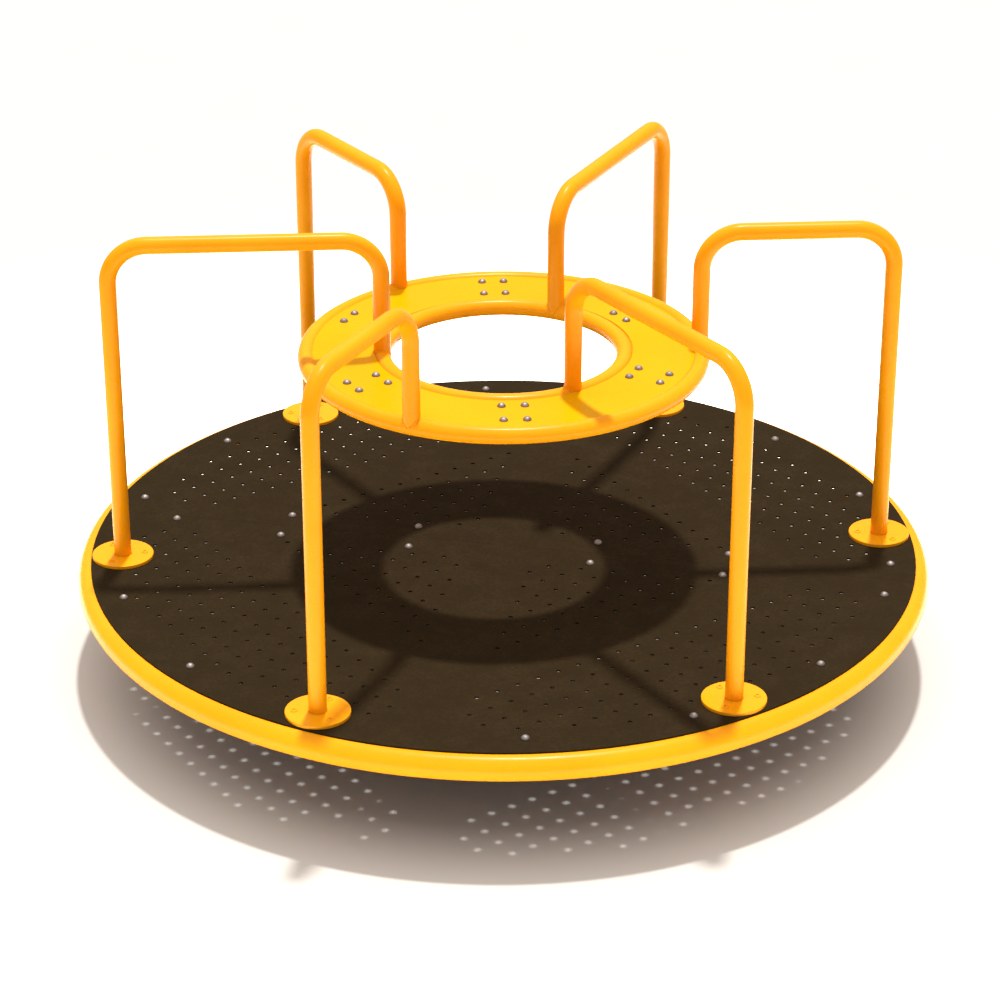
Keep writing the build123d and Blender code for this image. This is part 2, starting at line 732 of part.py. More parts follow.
def nipple_place():
    """On the hub's barrel, its axis level and pointing outwards."""
    return Rot(0, 0, 45) * Pos(hub_barrel_radius, 0, grease_nipple_z) * Rot(0, 90, 0)


def grease_nipple():
    hexagon = extrude(RegularPolygon(nipple_flats / 2, 6, major_radius=False), nipple_radius)
    stem = Cylinder(nipple_radius - nut_bore_gap, 2 * nipple_radius, align=to_high)
    neck = Cylinder(nipple_neck_share * nipple_radius, nipple_radius, align=to_low)
    neck = Pos(0, 0, nipple_radius) * neck
    ball_z = 2 * nipple_radius + nipple_ball_share * nipple_radius / 2
    ball = Pos(0, 0, ball_z) * Sphere(nipple_ball_share * nipple_radius)
    return on_seam(nipple_place() * (hexagon + stem + neck + ball))


# ---- every node

nodes = {}
nodes["base_plate"] = base_plate()
nodes["base_gussets"] = base_gussets()
nodes["spindle"] = spindle()
nodes["tab_washer"] = tab_washer()
nodes["castle_nut"] = castle_nut()
nodes["cotter_pin"] = cotter_pin()
bearing_pieces = ("bearing_cone", "bearing_cup", "bearing_cage", "bearing_rollers")
for place_name, pieces in (("lower", lower_bearing()), ("upper", upper_bearing())):
    for piece_name, piece in zip(bearing_pieces, pieces):
        nodes[f"{place_name}_{piece_name}"] = group(piece)
nodes["hub_housing"] = hub_housing()
nodes["hub_cap"] = hub_cap()
nodes["hub_cap_screws"] = hub_cap_screws()
nodes["grease_seal"] = grease_seal()
nodes["grease_nipple"] = grease_nipple()
for number, (along, across) in enumerate(((1, 1), (-1, 1), (-1, -1), (1, -1)), 1):
    nodes[f"seam_beam_{number}"] = seam_beam(along, across)
nodes["cross_beam_1"] = cross_beam(1)
nodes["cross_beam_2"] = cross_beam(-1)
for quarter in (1, 2, 3, 4):
    nodes[f"chord_beam_{quarter}"] = chord_beam(quarter)
nodes["seam_clip"] = seam_clip()
nodes["rim_ring"] = rim_ring()
nodes["rim_tabs"] = rim_tabs()
nodes["deck_half_back"] = deck_half(1)
nodes["deck_half_front"] = deck_half(-1)
nodes["deck_bolts"], nodes["deck_nuts"] = deck_bolts()
for number, (angle, inner, kind) in enumerate(rails(), 1):
    nodes[f"rail_{number}_{kind}"] = handrail(angle, inner)
    nodes[f"rail_flange_{number}"] = rail_flange(angle)
nodes["rail_brackets"] = rail_brackets()
nodes["flange_screws"], nodes["flange_nuts"] = flange_screws()
for name, radius in (("ring_outer_tube", ring_outer_radius), ("ring_inner_tube", ring_inner_radius)):
    nodes[name] = torus_tube(radius, ring_tube_radius, ring_tube_wall, ring_z, ring_drains)
nodes["ring_plate"] = ring_plate()
nodes["ring_braces"] = ring_braces()
nodes["ring_bolts"], nodes["ring_nuts"] = ring_fasteners()

os.makedirs("parts", exist_ok=True)
for name, shape in nodes.items():
    export_step(shape, f"parts/{name}.step")
print(len(nodes), "nodes")
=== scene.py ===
import math

import bpy
import numpy as np
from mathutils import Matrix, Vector


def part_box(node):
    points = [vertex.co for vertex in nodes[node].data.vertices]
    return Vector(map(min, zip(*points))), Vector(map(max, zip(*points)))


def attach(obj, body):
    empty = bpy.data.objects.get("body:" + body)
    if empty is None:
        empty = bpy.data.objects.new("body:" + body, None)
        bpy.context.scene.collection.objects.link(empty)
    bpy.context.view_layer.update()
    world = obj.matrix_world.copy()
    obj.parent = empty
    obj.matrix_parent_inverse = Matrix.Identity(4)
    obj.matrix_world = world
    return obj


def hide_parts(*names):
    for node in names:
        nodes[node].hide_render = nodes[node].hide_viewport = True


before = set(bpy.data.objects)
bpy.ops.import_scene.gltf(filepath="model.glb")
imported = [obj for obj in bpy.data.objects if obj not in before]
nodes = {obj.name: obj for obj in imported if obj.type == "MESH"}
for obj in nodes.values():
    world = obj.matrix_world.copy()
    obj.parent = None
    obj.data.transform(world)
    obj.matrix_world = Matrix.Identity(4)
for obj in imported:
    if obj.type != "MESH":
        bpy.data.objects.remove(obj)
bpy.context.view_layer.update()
print("frame loaded,", len(nodes), "nodes")

mm = 0.001
fullTurn = 2 * math.pi
quarterTurn = math.pi / 2


# Lowest and highest corner of a node's box.
def corners(node):
    low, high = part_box(node)
    return np.array(low), np.array(high)


# Centreline radius, tube radius and height of a ring of round tube, from its box.
def ringSizes(node):
    low, high = corners(node)
    tube = (high[2] - low[2]) / 2
    return high[0] - tube, tube, (high[2] + low[2]) / 2


rimRadius, rimTube, rimZ = ringSizes("rim_ring")
outerRadius, ringTube, ringZ = ringSizes("ring_outer_tube")
innerRadius = ringSizes("ring_inner_tube")[0]
deckTop = corners("deck_half_back")[1][2]
plateLow, plateHigh = corners("ring_plate")
flangeLow, flangeHigh = corners("rail_flange_1")
flangeTop = flangeHigh[2]
shortHigh = corners("rail_1_short")[1]
railRadius = shortHigh[1]
footRadius = shortHigh[0] - railRadius
railTop = shortHigh[2] - railRadius
railNodes = sorted(name for name in nodes if name.startswith("rail_") and name[5].isdigit())


# Faces of a grid of points: each point, its neighbour in the row, and the two in the next row. Rows close
# on themselves, and the last row meets the first where closeRows says so.
def gridQuads(rows, columns, closeRows=False):
    r = np.arange(rows if closeRows else rows - 1)[:, None]
    c = np.arange(columns)[None, :]
    nextRow, nextColumn = (r + 1) % rows, (c + 1) % columns
    here, along = r * columns + c, r * columns + nextColumn
    across, above = nextRow * columns + nextColumn, nextRow * columns + c
    return np.stack([here, along, across, above], axis=-1).reshape(-1, 4)


# Triangles from a ring of points, count of them starting at first, to one pole.
def fan(first, count, pole, flip):
    here = first + np.arange(count)
    there = first + (np.arange(count) + 1) % count
    order = [there, here] if flip else [here, there]
    return np.stack(order + [np.full(count, pole)], axis=-1)


# Closed skin over rings of points, shape (rows, columns, 3), with a pole in the middle of each end.
def tubeGrid(rings):
    rows, columns = rings.shape[:2]
    points = np.concatenate([rings.reshape(-1, 3), [rings[0].mean(0)], [rings[-1].mean(0)]])
    quads = gridQuads(rows, columns)
    last = rows * columns
    ends = np.concatenate([fan(0, columns, last, True), fan(last - columns, columns, last + 1, False)])
    return points, quads.tolist() + ends.tolist()


# Solid of revolution about Z: each (radius, height) becomes a ring, the first and last are poles on the axis.
def lathe(profile, segments):
    profile = np.array(profile)
    turn = np.linspace(0, fullTurn, segments, endpoint=False)
    radius, height = profile[1:-1, 0][:, None], profile[1:-1, 1][:, None]
    rings = np.stack([radius * np.cos(turn), radius * np.sin(turn), height + 0 * turn], axis=-1)
    points, faces = tubeGrid(rings)
    points[-2, 2], points[-1, 2] = profile[0, 1], profile[-1, 1]
    return points, faces


# Ring of round tube: the angle round the axis by rows, the angle round the section by columns.
def torus(radius, tube, z, around, section):
    u = np.linspace(0, fullTurn, around, endpoint=False)[:, None]
    v = np.linspace(0, fullTurn, section, endpoint=False)[None, :]
    reach = radius + tube * np.cos(v)
    points = np.stack([reach * np.cos(u), reach * np.sin(u), z + tube * np.sin(v) + 0 * u], axis=-1)
    return points.reshape(-1, 3), gridQuads(around, section, closeRows=True).tolist()


# One list of points and faces from several solids.
def join(solids):
    points, faces, start = [], [], 0
    for solidPoints, solidFaces in solids:
        points.append(solidPoints)
        faces += [[v + start for v in face] for face in solidFaces]
        start += len(solidPoints)
    return np.concatenate(points), faces


# The same solid moved to each of several places.
def copies(solid, places):
    points, faces = solid
    return join([(points + place, faces) for place in np.asarray(places)])


# A solid turned about Z by an angle.
def turnedAbout(solid, angle):
    cosine, sine = math.cos(angle), math.sin(angle)
    x, y, z = solid[0].T
    return np.stack([x * cosine - y * sine, x * sine + y * cosine, z], axis=-1), solid[1]


# Points of a circle of unit radius in the level plane.
def levelCircle(count):
    turn = np.linspace(0, fullTurn, count, endpoint=False)
    return np.stack([np.cos(turn), np.sin(turn), 0 * turn], axis=-1)


# Sum over triangles of the corner vectors' triple product, over six: negative where faces point inwards.
def signedVolume(mesh):
    mesh.calc_loop_triangles()
    corner = np.empty(len(mesh.loop_triangles) * 3, np.int32)
    mesh.loop_triangles.foreach_get("vertices", corner)
    flat = np.empty(len(mesh.vertices) * 3)
    mesh.vertices.foreach_get("co", flat)
    a, b, c = np.moveaxis(flat.reshape(-1, 3)[corner.reshape(-1, 3)], 1, 0)
    return np.einsum("ij,ij->i", a, np.cross(b, c)).sum() / 6


body = "turntable"                  # every piece made here rides on it
sharpAngle = math.radians(35)       # edges bent further than this stay sharp


# A mesh object in the frame's own place, riding on its body and standing for CAD nodes.
def makePiece(name, solid, slot, *replaced):
    points, faces = solid
    mesh = bpy.data.meshes.new(name)
    mesh.from_pydata(points.tolist(), [], faces)
    if signedVolume(mesh) < 0:
        mesh.flip_normals()
    mesh.shade_smooth()
    mesh.set_sharp_from_angle(angle=sharpAngle)
    mesh.materials.append(finishes[slot])
    piece = bpy.data.objects.new(name, mesh)
    bpy.context.scene.collection.objects.link(piece)
    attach(piece, body)
    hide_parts(*replaced)


# Linear RGBA of an sRGB hex colour.
def linear(hexText):
    srgb = np.array([int(hexText[i:i + 2], 16) for i in (1, 3, 5)]) / 255
    flat = np.where(srgb <= 0.04045, srgb / 12.92, ((srgb + 0.055) / 1.055) ** 2.4)
    return (*flat.tolist(), 1.0)


# Settings of a node: another node's output is linked, a pair of names sets two inputs, a name that starts
# with a small letter is the node's own, any other is an input, and a text given to an input is a colour.
def setUp(tree, node, settings):
    for key, value in settings.items():
        if isinstance(value, bpy.types.NodeSocket):
            tree.links.new(value, node.inputs[key])
        elif isinstance(key, tuple):
            for name, part in zip(key, value):
                node.inputs[name].default_value = part
        elif isinstance(key, str) and key[0].islower():
            setattr(node, key, value)
        else:
            node.inputs[key].default_value = linear(value) if isinstance(value, str) else value


# One shader node with its settings and links; hands back the output asked for.
def addNode(tree, kind, settings, output=0):
    node = tree.nodes.new("ShaderNode" + kind)
    setUp(tree, node, settings)
    return node.outputs[output]


fromPair = ("From Min", "From Max")     # names of the MapRange node's inputs
toPair = ("To Min", "To Max")
share, first, second = 0, 6, 7          # places of the Mix node's colour inputs
mixedColour = 2                         # and of its colour output


# An empty material, its node tree, a Principled shader on its output, and Object coordinates.
def startMaterial(name):
    material = bpy.data.materials.new(name)
    material.use_nodes = True
    tree = material.node_tree
    tree.nodes.clear()
    shader = tree.nodes.new("ShaderNodeBsdfPrincipled")
    setUp(tree, tree.nodes.new("ShaderNodeOutputMaterial"), {"Surface": shader.outputs["BSDF"]})
    return material, tree, shader, addNode(tree, "TexCoord", {}, "Object")


# Polyester powder coat on steel, sprayed and baked: a deep warm yellow under a smooth gloss skin with a
# faint orange peel, a little dulled by hands and dust.
def yellowPowderCoat(name, colour, thin, shine):
    coat = {
        "shadeSize": 260 * mm,      # slow shifts of colour
        "shadeBand": (0.35, 0.65),
        "dust": "#D8A44A",
        "dustSize": 6 * mm,
        "dustBand": (0.62, 0.80),
        "dustShare": (0.0, 0.35),
        "rubSize": 45 * mm,         # patches rubbed by hands
        "rubBand": (0.35, 0.70),
        "gloss": (0.24, 0.34),      # roughness, clean and dulled
        "peelSize": 4 * mm,         # orange peel wavelength
        "peelDepth": 0.012 * mm,
        "ior": 1.5,
    }
    material, tree, shader, place = startMaterial(name)
    shade = addNode(tree, "TexNoise", {"Vector": place, "Scale": 1 / coat["shadeSize"], "Detail": 3.0})
    shade = addNode(tree, "MapRange", {"Value": shade, fromPair: coat["shadeBand"]})
    paint = {"data_type": "RGBA", share: shade, first: colour, second: thin}
    paint = addNode(tree, "Mix", paint, mixedColour)
    dust = {"Vector": place, "Scale": 1 / coat["dustSize"], "Detail": 6.0, "Roughness": 0.7}
    dust = addNode(tree, "TexNoise", dust)
    dust = addNode(tree, "MapRange", {"Value": dust, fromPair: coat["dustBand"], toPair: coat["dustShare"]})
    dusty = {"data_type": "RGBA", share: dust, first: paint, second: coat["dust"]}
    rubbed = addNode(tree, "TexNoise", {"Vector": place, "Scale": 1 / coat["rubSize"], "Detail": 5.0})
    peel = addNode(tree, "TexNoise", {"Vector": place, "Scale": 1 / coat["peelSize"], "Detail": 1.0})
    dulled = {"Value": rubbed, fromPair: coat["rubBand"], toPair: coat["gloss"]}
    setUp(tree, shader, {
        "Base Color": addNode(tree, "Mix", dusty, mixedColour),
        "Roughness": addNode(tree, "MapRange", dulled),
        "Normal": addNode(tree, "Bump", {"Height": peel, "Distance": coat["peelDepth"]}),
        "IOR": coat["ior"],
        "Specular IOR Level": shine,
    })
    return material


# Brown polyethylene dip coat on punched plate: a soft matt skin with a fine pebble, scuffed by shoes.
def deckCoating():
    coat = {
        "colour": "#2A2012",
        "scuff": "#312617",
        "patchSize": 90 * mm,
        "gritSize": 9 * mm,
        "wearBand": (0.20, 0.42),
        "matt": (0.70, 0.55),       # roughness, new and worn
        "pebbleSize": 3 * mm,
        "pebbleDepth": 0.10 * mm,
        "ior": 1.5,
        "shine": 0.015,
    }
    material, tree, shader, place = startMaterial("brownPolyethyleneDipCoat")
    patches = {"Vector": place, "Scale": 1 / coat["patchSize"], "Detail": 8.0, "Roughness": 0.62}
    grit = {"Vector": place, "Scale": 1 / coat["gritSize"], "Detail": 5.0, "Roughness": 0.6}
    patches, grit = addNode(tree, "TexNoise", patches), addNode(tree, "TexNoise", grit)
    scuffed = addNode(tree, "Math", {"operation": "MULTIPLY", 0: patches, 1: grit})
    wear = addNode(tree, "MapRange", {"Value": scuffed, fromPair: coat["wearBand"]})
    worn = {"data_type": "RGBA", share: wear, first: coat["colour"], second: coat["scuff"]}
    pebble = addNode(tree, "TexNoise", {"Vector": place, "Scale": 1 / coat["pebbleSize"], "Detail": 2.0})
    setUp(tree, shader, {
        "Base Color": addNode(tree, "Mix", worn, mixedColour),
        "Roughness": addNode(tree, "MapRange", {"Value": wear, toPair: coat["matt"]}),
        "Normal": addNode(tree, "Bump", {"Height": pebble, "Distance": coat["pebbleDepth"]}),
        "IOR": coat["ior"],
        "Specular IOR Level": coat["shine"],
    })
    return material


# Stainless steel, cold headed and tumbled: a warm grey with a soft satin shine and small scratches.
def stainlessBolt():
    steel = {
        "colour": "#968C86",
        "stain": "#7C726B",
        "stainSize": 14 * mm,
        "stainBand": (0.45, 0.75),
        "satin": (0.55, 0.68),      # roughness, clean and stained
        "scratchSize": 1.5 * mm,
        "scratchDepth": 0.01 * mm,
    }
    material, tree, shader, place = startMaterial("tumbledStainlessSteel")
    stain = addNode(tree, "TexNoise", {"Vector": place, "Scale": 1 / steel["stainSize"], "Detail": 5.0})
    stain = addNode(tree, "MapRange", {"Value": stain, fromPair: steel["stainBand"]})
    stained = {"data_type": "RGBA", share: stain, first: steel["colour"], second: steel["stain"]}
    scratches = {"Vector": place, "Scale": 1 / steel["scratchSize"], "Detail": 4.0}
    scratches = addNode(tree, "TexNoise", scratches)
    setUp(tree, shader, {
        "Base Color": addNode(tree, "Mix", stained, mixedColour),
        "Roughness": addNode(tree, "MapRange", {"Value": stain, toPair: steel["satin"]}),
        "Normal": addNode(tree, "Bump", {"Height": scratches, "Distance": steel["scratchDepth"]}),
        "Metallic": 1.0,
    })
    return material


# Hot dip galvanised steel: a dull blue-grey zinc skin with spangle, drips and white bloom.
def galvanisedSteel():
    zinc = {
        "colour": "#A3A8AA",
        "dark": "#7F868A",
        "spangleSize": 14 * mm,
        "spangleShine": (0.36, 0.58),
        "bloom": "#C2C4C1",
        "bloomSize": 60 * mm,
        "bloomBand": (0.52, 0.75),
        "bloomShare": (0.0, 0.8),
        "dripSize": 8 * mm,
        "dripDepth": 0.08 * mm,
    }
    material, tree, shader, place = startMaterial("hotDipGalvanisedSteel")
    cells = addNode(tree, "TexVoronoi", {"Vector": place, "Scale": 1 / zinc["spangleSize"]}, "Color")
    grey = addNode(tree, "SeparateColor", {"Color": cells})
    skin = {"data_type": "RGBA", share: grey, first: zinc["dark"], second: zinc["colour"]}
    skin = addNode(tree, "Mix", skin, mixedColour)
    bloom = {"Vector": place, "Scale": 1 / zinc["bloomSize"], "Detail": 7.0, "Roughness": 0.6}
    bloom = addNode(tree, "TexNoise", bloom)
    bloom = {"Value": bloom, fromPair: zinc["bloomBand"], toPair: zinc["bloomShare"]}
    bloom = addNode(tree, "MapRange", bloom)
    bloomed = {"data_type": "RGBA", share: bloom, first: skin, second: zinc["bloom"]}
    drips = addNode(tree, "TexNoise", {"Vector": place, "Scale": 1 / zinc["dripSize"], "Detail": 4.0})
    setUp(tree, shader, {
        "Base Color": addNode(tree, "Mix", bloomed, mixedColour),
        "Roughness": addNode(tree, "MapRange", {"Value": grey, toPair: zinc["spangleShine"]}),
        "Normal": addNode(tree, "Bump", {"Height": drips, "Distance": zinc["dripDepth"]}),
        "Metallic": 1.0,
    })
    return material


# Hardened chrome steel, turned and ground: bright, with rings round the spin axis under a film of grease.
def bearingSteel():
    steel = {
        "colour": "#C6C3BC",
        "grease": "#8C7A55",
        "filmSize": 12 * mm,
        "filmBand": (0.45, 0.70),
        "filmShare": (0.0, 0.7),
        "ground": (0.16, 0.34),     # roughness, bare and greased
        "ringSize": 24 * mm,        # the rings come out at about a third of this
        "ringWander": 0.4,
        "ringDepth": 0.01 * mm,
    }
    material, tree, shader, place = startMaterial("groundChromeSteel")
    rings = {
        "wave_type": "RINGS",
        "rings_direction": "Z",
        "Vector": place,
        "Scale": 1 / steel["ringSize"],
        "Distortion": steel["ringWander"],
    }
    rings = addNode(tree, "TexWave", rings, "Fac")
    film = addNode(tree, "TexNoise", {"Vector": place, "Scale": 1 / steel["filmSize"], "Detail": 4.0})
    film = addNode(tree, "MapRange", {"Value": film, fromPair: steel["filmBand"], toPair: steel["filmShare"]})
    greased = {"data_type": "RGBA", share: film, first: steel["colour"], second: steel["grease"]}
    setUp(tree, shader, {
        "Base Color": addNode(tree, "Mix", greased, mixedColour),
        "Roughness": addNode(tree, "MapRange", {"Value": film, toPair: steel["ground"]}),
        "Normal": addNode(tree, "Bump", {"Height": rings, "Distance": steel["ringDepth"]}),
        "Metallic": 1.0,
    })
    return material


# Moulded nitrile rubber: black, with a greyish bloom and a fine moulded grain.
def nitrileRubber():
    rubber = {
        "colour": "#141414",
        "bloom": "#2A2A28",
        "bloomSize": 10 * mm,
        "bloomBand": (0.3, 0.7),
        "sheen": (0.45, 0.65),      # roughness, bare and bloomed
        "grainSize": 0.8 * mm,
        "grainDepth": 0.03 * mm,
        "ior": 1.52,
    }
    material, tree, shader, place = startMaterial("mouldedNitrileRubber")
    bloom = addNode(tree, "TexNoise", {"Vector": place, "Scale": 1 / rubber["bloomSize"], "Detail": 5.0})
    bloomed = {"data_type": "RGBA", share: bloom, first: rubber["colour"], second: rubber["bloom"]}
    grain = addNode(tree, "TexNoise", {"Vector": place, "Scale": 1 / rubber["grainSize"], "Detail": 2.0})
    dulled = {"Value": bloom, fromPair: rubber["bloomBand"], toPair: rubber["sheen"]}
    setUp(tree, shader, {
        "Base Color": addNode(tree, "Mix", bloomed, mixedColour),
        "Roughness": addNode(tree, "MapRange", dulled),
        "Normal": addNode(tree, "Bump", {"Height": grain, "Distance": rubber["grainDepth"]}),
        "IOR": rubber["ior"],
    })
    return material


# One finish for each slot of the record; the ring plate's sheet is cooler and duller than the tubes.
finishes = {
    "yellow_powder_coat": yellowPowderCoat("yellowPowderCoatedTube", "#F79F10", "#F5990C", 0.10),
    "deck_coating": deckCoating(),
    "fastener_steel": stainlessBolt(),
    "frame_steel": galvanisedSteel(),
    "bearing_steel": bearingSteel(),
    "seal_rubber": nitrileRubber(),
}
lemon = yellowPowderCoat("yellowPowderCoatedSheet", "#E49F05", "#E29B04", 0.04)
for node in nodes.values():
    for holder in node.material_slots:
        holder.material = finishes[holder.material.name.split(".")[0]]
nodes["ring_plate"].material_slots[0].material = lemon
print("materials ready")


weld = {"sides": 10, "swell": 0.12}     # the ripples' swell is a share of the bead's size


# Weld bead along a closed line: a small round section square to the line, swelling with the cosine of the
# length travelled.
def bead(line, outward, size, ripple):
    along = np.roll(line, -1, axis=0) - np.roll(line, 1, axis=0)
    length = np.linalg.norm(along, axis=1, keepdims=True)
    travelled = np.cumsum(length[:, 0]) / 2
    along /= length
    side = np.cross(along, outward)
    side /= np.linalg.norm(side, axis=1, keepdims=True)
    front = np.cross(side, along)
    turn = np.linspace(0, fullTurn, weld["sides"], endpoint=False)[None, :, None]
    waves = max(round(travelled[-1] / ripple), 1)
    wave = np.cos(fullTurn * waves * travelled / travelled[-1])
    swell = size * (1 + weld["swell"] * wave)[:, None, None]
    points = line[:, None, :] + swell * (np.cos(turn) * front[:, None, :] + np.sin(turn) * side[:, None, :])
    return points.reshape(-1, 3), gridQuads(len(line), weld["sides"], closeRows=True).tolist()


rimDetail = {"around": 420, "section": 56}
ringDetail = {"around": 260, "section": 44}
plateJoint = {"size": 1.9 * mm, "ripple": 3.2 * mm, "points": 900, "out": 0.9 * mm, "down": 0.8 * mm}


# Circle of weld under the open joint between the ring plate and the inner tube.
def plateBead():
    under = plateLow[2]
    reach = innerRadius + math.sqrt(ringTube ** 2 - (under - ringZ) ** 2) + plateJoint["out"]
    outward = levelCircle(plateJoint["points"])
    line = reach * outward + np.array([0, 0, under - plateJoint["down"]])
    return bead(line, outward, plateJoint["size"], plateJoint["ripple"])


rimSolid = torus(rimRadius, rimTube, rimZ, **rimDetail)
outerSolid = torus(outerRadius, ringTube, ringZ, **ringDetail)
innerSolid = join([torus(innerRadius, ringTube, ringZ, **ringDetail), plateBead()])
makePiece("rimTube", rimSolid, "yellow_powder_coat", "rim_ring")
makePiece("ringTubeOuter", outerSolid, "yellow_powder_coat", "ring_outer_tube")
makePiece("ringTubeInner", innerSolid, "yellow_powder_coat", "ring_inner_tube")
print("rim and rings made")


railShape = {
    "bend": 110 * mm,
    "section": 44,
    "bendSteps": 22,
    "straightSteps": 6,
    "intoFlange": 3 * mm,
    "intoRing": 1 * mm,
    "overRing": 1.3,            # height of the leg's last level section, in radii of the ring's tube
}
saddleJoint = {"size": 2.4 * mm, "ripple": 3 * mm, "points": 160}


# Radius and height along a rail's centreline, with the tangent's angle from level: a straight leg, a
# quarter turn inwards, a level run, a quarter turn down and a straight leg.
def railPath(inner, low, saddle):
    bend = railShape["bend"]
    along = np.linspace(0, 1, railShape["straightSteps"])
    sweep = np.linspace(0, quarterTurn, railShape["bendSteps"])[1:-1]
    same = np.ones_like(along)
    bendZ = railTop - bend
    levelRun = footRadius - inner - 2 * bend
    up = [footRadius * same, low + along * (bendZ - low), quarterTurn * same]
    outBend = [footRadius - bend + bend * np.cos(sweep), bendZ + bend * np.sin(sweep), quarterTurn + sweep]
    level = [footRadius - bend - along * levelRun, railTop * same, math.pi * same]
    inBend = [inner + bend - bend * np.sin(sweep), bendZ + bend * np.cos(sweep), math.pi + sweep]
    down = [inner * same, bendZ - along * (bendZ - saddle), 3 * quarterTurn * same]
    return np.concatenate([up, outBend, level, inBend, down], axis=1)


# Height of the ring tube's upper surface at a point radial and across from the leg's centre.
def saddleHeight(inner, across, radial):
    away = np.hypot(inner + radial, across) - inner
    return ringZ + np.sqrt(np.maximum(ringTube ** 2 - away ** 2, 0))


# Round tube carried along the rail's path in its upright plane, its inner end cut to sit on the ring tube.
def railTube(inner):
    saddle = ringZ + railShape["overRing"] * ringTube
    radius, height, lean = railPath(inner, flangeTop - railShape["intoFlange"], saddle)
    turn = np.linspace(0, fullTurn, railShape["section"], endpoint=False)
    outward = railRadius * np.cos(turn)
    x = radius[:, None] + np.sin(lean)[:, None] * outward
    z = height[:, None] - np.cos(lean)[:, None] * outward
    y = railRadius * np.sin(turn)[None, :] + 0 * x
    rings = np.stack([x, y, z], axis=-1)
    last = rings[-1].copy()
    last[:, 2] = saddleHeight(inner, last[:, 1], last[:, 0] - inner) - railShape["intoRing"]
    return tubeGrid(np.concatenate([rings, [last]]))


# Weld line where a rail's inner leg meets the ring tube.
def saddleBead(inner):
    outward = levelCircle(saddleJoint["points"])
    radial, across = railRadius * outward[:, 0], railRadius * outward[:, 1]
    line = np.stack([inner + radial, across, saddleHeight(inner, across, radial)], axis=-1)
    return bead(line, outward, saddleJoint["size"], saddleJoint["ripple"])


for i, node in enumerate(railNodes):
    inner = innerRadius if node.endswith("long") else outerRadius
    rail = join([railTube(inner), saddleBead(inner)])
    angle = fullTurn * i / len(railNodes)
    makePiece("handrail" + str(i + 1), turnedAbout(rail, angle), "yellow_powder_coat", node)
print("handrails made")


flangeShape = {
    "segments": 96,
    "edge": 2.2 * mm,           # radius of the upper edge
    "edgeSteps": 5,
    "lowEdge": 0.5 * mm,
    "groove": 0.9 * mm,         # open joint round the rail's foot
    "grooveDepth": 4 * mm,
    "grooveLip": 0.4 * mm,
    "grooveStep": 0.01 * mm,
}


# Flat disc with a quarter circle on its upper edge and a narrow groove round the rail's foot.
def flangeSolid():
    radius = (flangeHigh[0] - flangeLow[0]) / 2
    low = flangeLow[2]
    edge, lowEdge, lip = flangeShape["edge"], flangeShape["lowEdge"], flangeShape["grooveLip"]
    groove = railRadius + flangeShape["groove"]
    floor = flangeTop - flangeShape["grooveDepth"]
    sweep = np.linspace(quarterTurn, 0, flangeShape["edgeSteps"])
    profile = [(0, floor), (groove - flangeShape["grooveStep"], floor)]
    profile += [(groove, flangeTop - lip), (groove + lip, flangeTop)]
    profile += list(zip(radius - edge + edge * np.cos(sweep), flangeTop - edge + edge * np.sin(sweep)))
    profile += [(radius, low + lowEdge), (radius - lowEdge, low), (0, low)]
    return lathe(profile, flangeShape["segments"])


flangeUnit = flangeSolid()
for i in range(len(railNodes)):
    node = "rail_flange_" + str(i + 1)
    low, high = corners(node)
    centre = [*((low + high) / 2)[:2], 0]
    makePiece("flange" + str(i + 1), copies(flangeUnit, [centre]), "yellow_powder_coat", node)


domeBolt = {
    "headRadius": 12 * mm,
    "edge": 1.2 * mm,           # upright edge under the dome
    "edgeBreak": 0.4,           # share of that edge taken off below
    "domeSteps": 8,
    "shankRadius": 5 * mm,
    "pitch": 1.5 * mm,
    "ridges": 4,                # threads, only at the end that shows under the nut
    "threadDepth": 0.8 * mm,
    "point": 1 * mm,
    "segments": 28,
}
buttonScrew = {
    "headRadius": 10 * mm,
    "lowEdge": 0.3 * mm,
    "domeSteps": 7,
    "shankRadius": 5 * mm,
    "socketRadius": 3.4 * mm,
    "socketDepth": 3 * mm,
    "floorShare": 0.9,          # of the socket's radius
    "wallShare": 0.8,           # of its depth
    "circle": 62 * mm,
    "perFlange": 3,
    "segments": 28,
}
crown = {"depth": 0.05 * mm, "grid": 0.5 * mm}


# Centre of each bolt of a node: the highest points, rounded to a grid so that each bolt counts once.
def crownPlaces(node):
    flat = np.empty(len(nodes[node].data.vertices) * 3)
    nodes[node].data.vertices.foreach_get("co", flat)
    points = flat.reshape(-1, 3)
    crowns = points[points[:, 2] > points[:, 2].max() - crown["depth"]]
    return np.unique(np.round(crowns[:, :2] / crown["grid"]), axis=0) * crown["grid"]


# Three screws on each flange, one of them pointing at the spin axis.
def screwPlaces():
    rails, screws, circle = len(railNodes), buttonScrew["perFlange"], buttonScrew["circle"]
    angle = np.repeat(np.arange(rails) * fullTurn / rails, screws)
    turn = math.pi + np.tile(np.arange(screws) * fullTurn / screws, rails)
    radial, across = footRadius + circle * np.cos(turn), circle * np.sin(turn)
    x = radial * np.cos(angle) - across * np.sin(angle)
    y = radial * np.sin(angle) + across * np.cos(angle)
    return np.column_stack([x, y])


# Arc of a dome from one radius out to another: the sphere's radius is (r * r + h * h) / (2 * h).
def domeArc(radius, rise, top, fromRadius, steps):
    sphere = (radius ** 2 + rise ** 2) / (2 * rise)
    sweep = np.linspace(math.asin(fromRadius / sphere), math.asin(radius / sphere), steps)
    return list(zip(sphere * np.sin(sweep), top - sphere + sphere * np.cos(sweep)))


